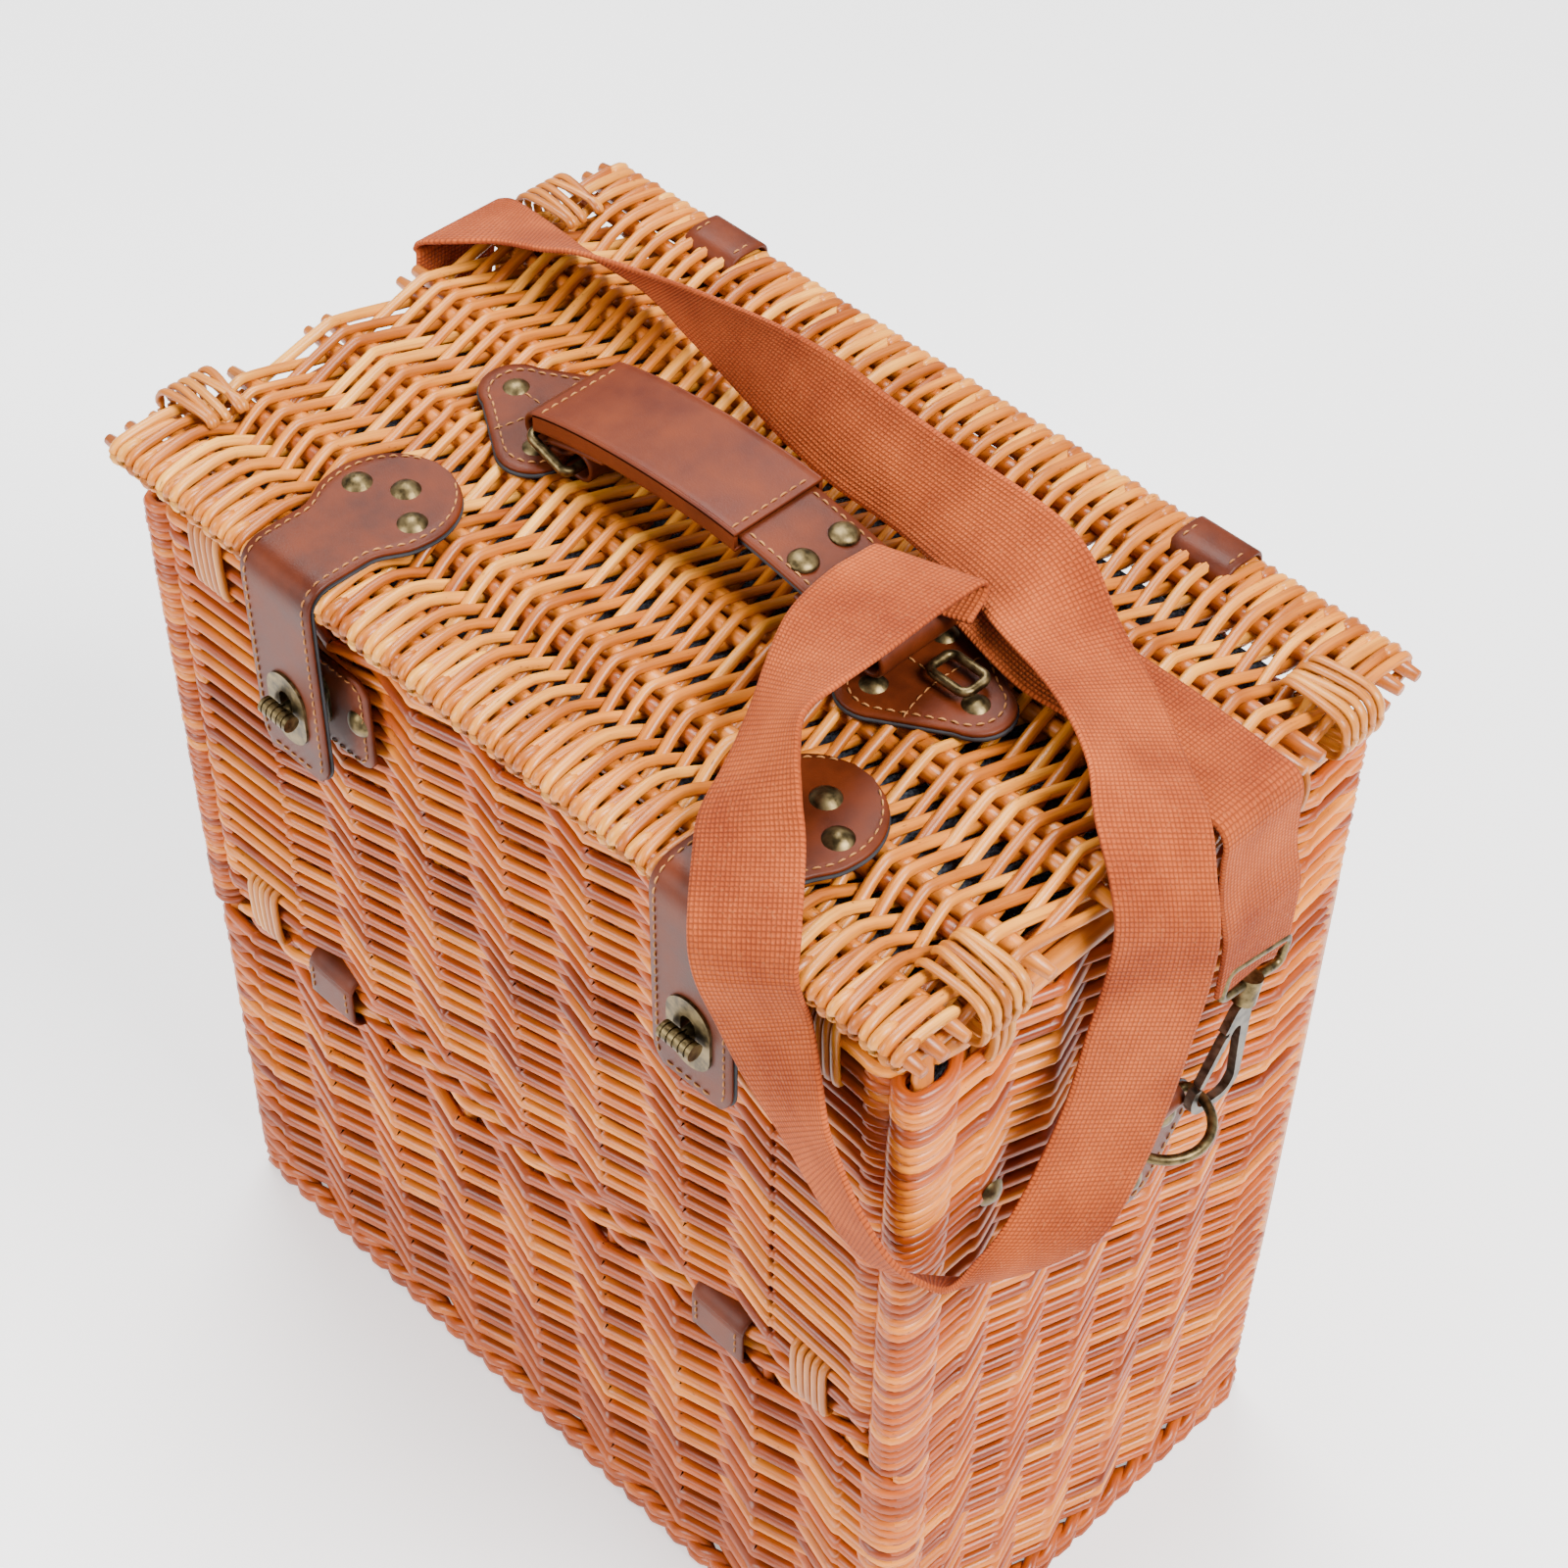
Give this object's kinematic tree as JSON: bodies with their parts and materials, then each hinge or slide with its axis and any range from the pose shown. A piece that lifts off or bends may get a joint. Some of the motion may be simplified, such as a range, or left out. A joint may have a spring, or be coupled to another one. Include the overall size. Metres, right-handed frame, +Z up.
{
  "type": "wicker picnic basket",
  "caption": "Upright woven willow picnic basket with hinged lid, drop-down front panel, leather carry handle, turn-lock closures and a webbing shoulder strap.",
  "frame": {"origin": "centre of the underside of the base, on the floor", "axes": "+X to the right seen from the front, +Y to the back, +Z up; the front panel faces -Y"},
  "size_m": [0.4289, 0.2501, 0.4509],
  "materials": {
    "willow_wall": "glossy varnished split willow, saturated orange-brown, woven",
    "willow_lid": "glossy varnished willow weave, light honey colour",
    "willow_rod": "glossy varnished round willow rods",
    "willow_binding": "glossy split-willow wrapping",
    "lining_cloth": "dark blue-grey woven lining",
    "leather": "reddish-brown smooth leather with tan stitching",
    "antique_brass": "antique brass, worn bright on the edges",
    "webbing": "coarse terracotta cotton webbing"
  },
  "bodies": {
    "base": {"base_panel": "willow_rod", "base_border": "willow_wall", "back_wall": "willow_wall", "left_wall": "willow_wall", "right_wall": "willow_wall", "front_lower_wall": "willow_wall", "corner_posts": "willow_rod", "rim_rods": "willow_rod", "sill_rod": "willow_rod", "body_lining": "lining_cloth", "side_ring_tabs": "leather", "side_rivets": "antique_brass"},
    "lid": {"lid_weave": "willow_lid", "lid_rods": "willow_rod", "lid_lashings": "willow_binding", "lid_lining": "lining_cloth", "rear_hinge_loops": "leather", "closure_straps": "leather", "closure_rivets": "antique_brass", "handle_patches": "leather", "handle_patch_rivets": "antique_brass", "hook_eyes": "antique_brass", "strap_back_run": "webbing", "strap_outer_run": "webbing", "strap_fold_run": "webbing", "strap_hanging_loop": "webbing", "strap_slide": "antique_brass", "strap_drop_left": "webbing", "strap_drop_right": "webbing"},
    "front_panel": {"panel_weave": "willow_wall", "panel_frame_rods": "willow_rod", "panel_lashings": "willow_binding", "panel_lining": "lining_cloth", "front_hinge_loops": "leather", "lock_backings": "leather", "lock_bases": "antique_brass", "lock_rivets": "antique_brass"},
    "flap_left": {"closure_flap_left": "leather", "eyelet_plate_left": "antique_brass"},
    "flap_right": {"closure_flap_right": "leather", "eyelet_plate_right": "antique_brass"},
    "knob_left": {"turn_knob_left": "antique_brass"},
    "knob_right": {"turn_knob_right": "antique_brass"},
    "ring_right": {"handle_ring_right": "antique_brass"},
    "handle_right_half": {"handle_strap_right": "leather", "handle_sleeve_right": "leather", "handle_end_rivets": "antique_brass"},
    "handle_left_half": {"handle_strap_left": "leather", "handle_sleeve_left": "leather"},
    "ring_left": {"handle_ring_left": "antique_brass"},
    "side_ring_left": {"side_ring_left": "antique_brass"},
    "side_ring_right": {"side_ring_right": "antique_brass"},
    "hook_left": {"hook_body_left": "antique_brass"},
    "hook_right": {"hook_body_right": "antique_brass"},
    "gate_left": {"hook_gate_left": "antique_brass"},
    "gate_right": {"hook_gate_right": "antique_brass"}
  },
  "joints": [
    {"name": "lid_hinge", "type": "hinge", "parent": "base", "child": "lid", "pos_m": [0, 0.105, 0.386], "axis": [-1, 0, 0], "range_deg": [0, 105]},
    {"name": "front_panel_hinge", "type": "hinge", "parent": "base", "child": "front_panel", "pos_m": [0, -0.1025, 0.171], "axis": [1, 0, 0], "range_deg": [0, 110]},
    {"name": "closure_left", "type": "hinge", "parent": "lid", "child": "flap_left", "pos_m": [-0.091, -0.1155, 0.4092], "axis": [-1, 0, 0], "range_deg": [0, 100]},
    {"name": "closure_right", "type": "hinge", "parent": "lid", "child": "flap_right", "pos_m": [0.102, -0.1155, 0.4092], "axis": [-1, 0, 0], "range_deg": [0, 100], "deforming": ["strap_hanging_loop"]},
    {"name": "turn_knob_left", "type": "hinge", "parent": "front_panel", "child": "knob_left", "pos_m": [-0.091, -0.112, 0.348], "axis": [0, 1, 0], "range_deg": [0, 90]},
    {"name": "turn_knob_right", "type": "hinge", "parent": "front_panel", "child": "knob_right", "pos_m": [0.102, -0.112, 0.348], "axis": [0, 1, 0], "range_deg": [0, 90]},
    {"name": "handle_ring_right", "type": "hinge", "parent": "lid", "child": "ring_right", "pos_m": [0.058, -0.003, 0.412], "axis": [0, -1, 0], "range_deg": [0, 61.5], "deforming": ["strap_fold_run"]},
    {"name": "handle_end_right", "type": "hinge", "parent": "ring_right", "child": "handle_right_half", "pos_m": [0.076, -0.003, 0.418], "axis": [0, 1, 0], "range_deg": [0, 93.6]},
    {"name": "handle_crown", "type": "hinge", "parent": "handle_right_half", "child": "handle_left_half", "pos_m": [0, -0.003, 0.425], "axis": [0, -1, 0], "range_deg": [0, 64.1]},
    {"name": "handle_end_left", "type": "hinge", "parent": "handle_left_half", "child": "ring_left", "pos_m": [-0.076, -0.003, 0.418], "axis": [0, 1, 0], "range_deg": [0, 93.6]},
    {"name": "side_ring_left", "type": "hinge", "parent": "base", "child": "side_ring_left", "pos_m": [-0.189, 0.002, 0.279], "axis": [0, 1, 0], "range_deg": [0, 20]},
    {"name": "side_ring_right", "type": "hinge", "parent": "base", "child": "side_ring_right", "pos_m": [0.189, 0.002, 0.279], "axis": [0, -1, 0], "range_deg": [0, 20]},
    {"name": "hook_swivel_left", "type": "hinge", "parent": "lid", "child": "hook_left", "pos_m": [-0.196, 0.03276, 0.31482], "axis": [0, 0.2079, 0.9781], "range_deg": [-10, 0]},
    {"name": "hook_swivel_right", "type": "hinge", "parent": "lid", "child": "hook_right", "pos_m": [0.196, 0.03276, 0.31482], "axis": [0, -0.2079, -0.9781], "range_deg": [-10, 0]},
    {"name": "hook_gate_left", "type": "hinge", "parent": "hook_left", "child": "gate_left", "pos_m": [-0.196, 0.02551, 0.30286], "axis": [1, 0, 0], "range_deg": [0, 20]},
    {"name": "hook_gate_right", "type": "hinge", "parent": "hook_right", "child": "gate_right", "pos_m": [0.196, 0.02551, 0.30286], "axis": [1, 0, 0], "range_deg": [0, 20]}
  ],
  "couplings": [
    {"joint": "handle_end_right", "follows": "handle_ring_right", "ratio": 1.52},
    {"joint": "handle_crown", "follows": "handle_ring_right", "ratio": 1.04},
    {"joint": "handle_end_left", "follows": "handle_ring_right", "ratio": 1.52}
  ]
}
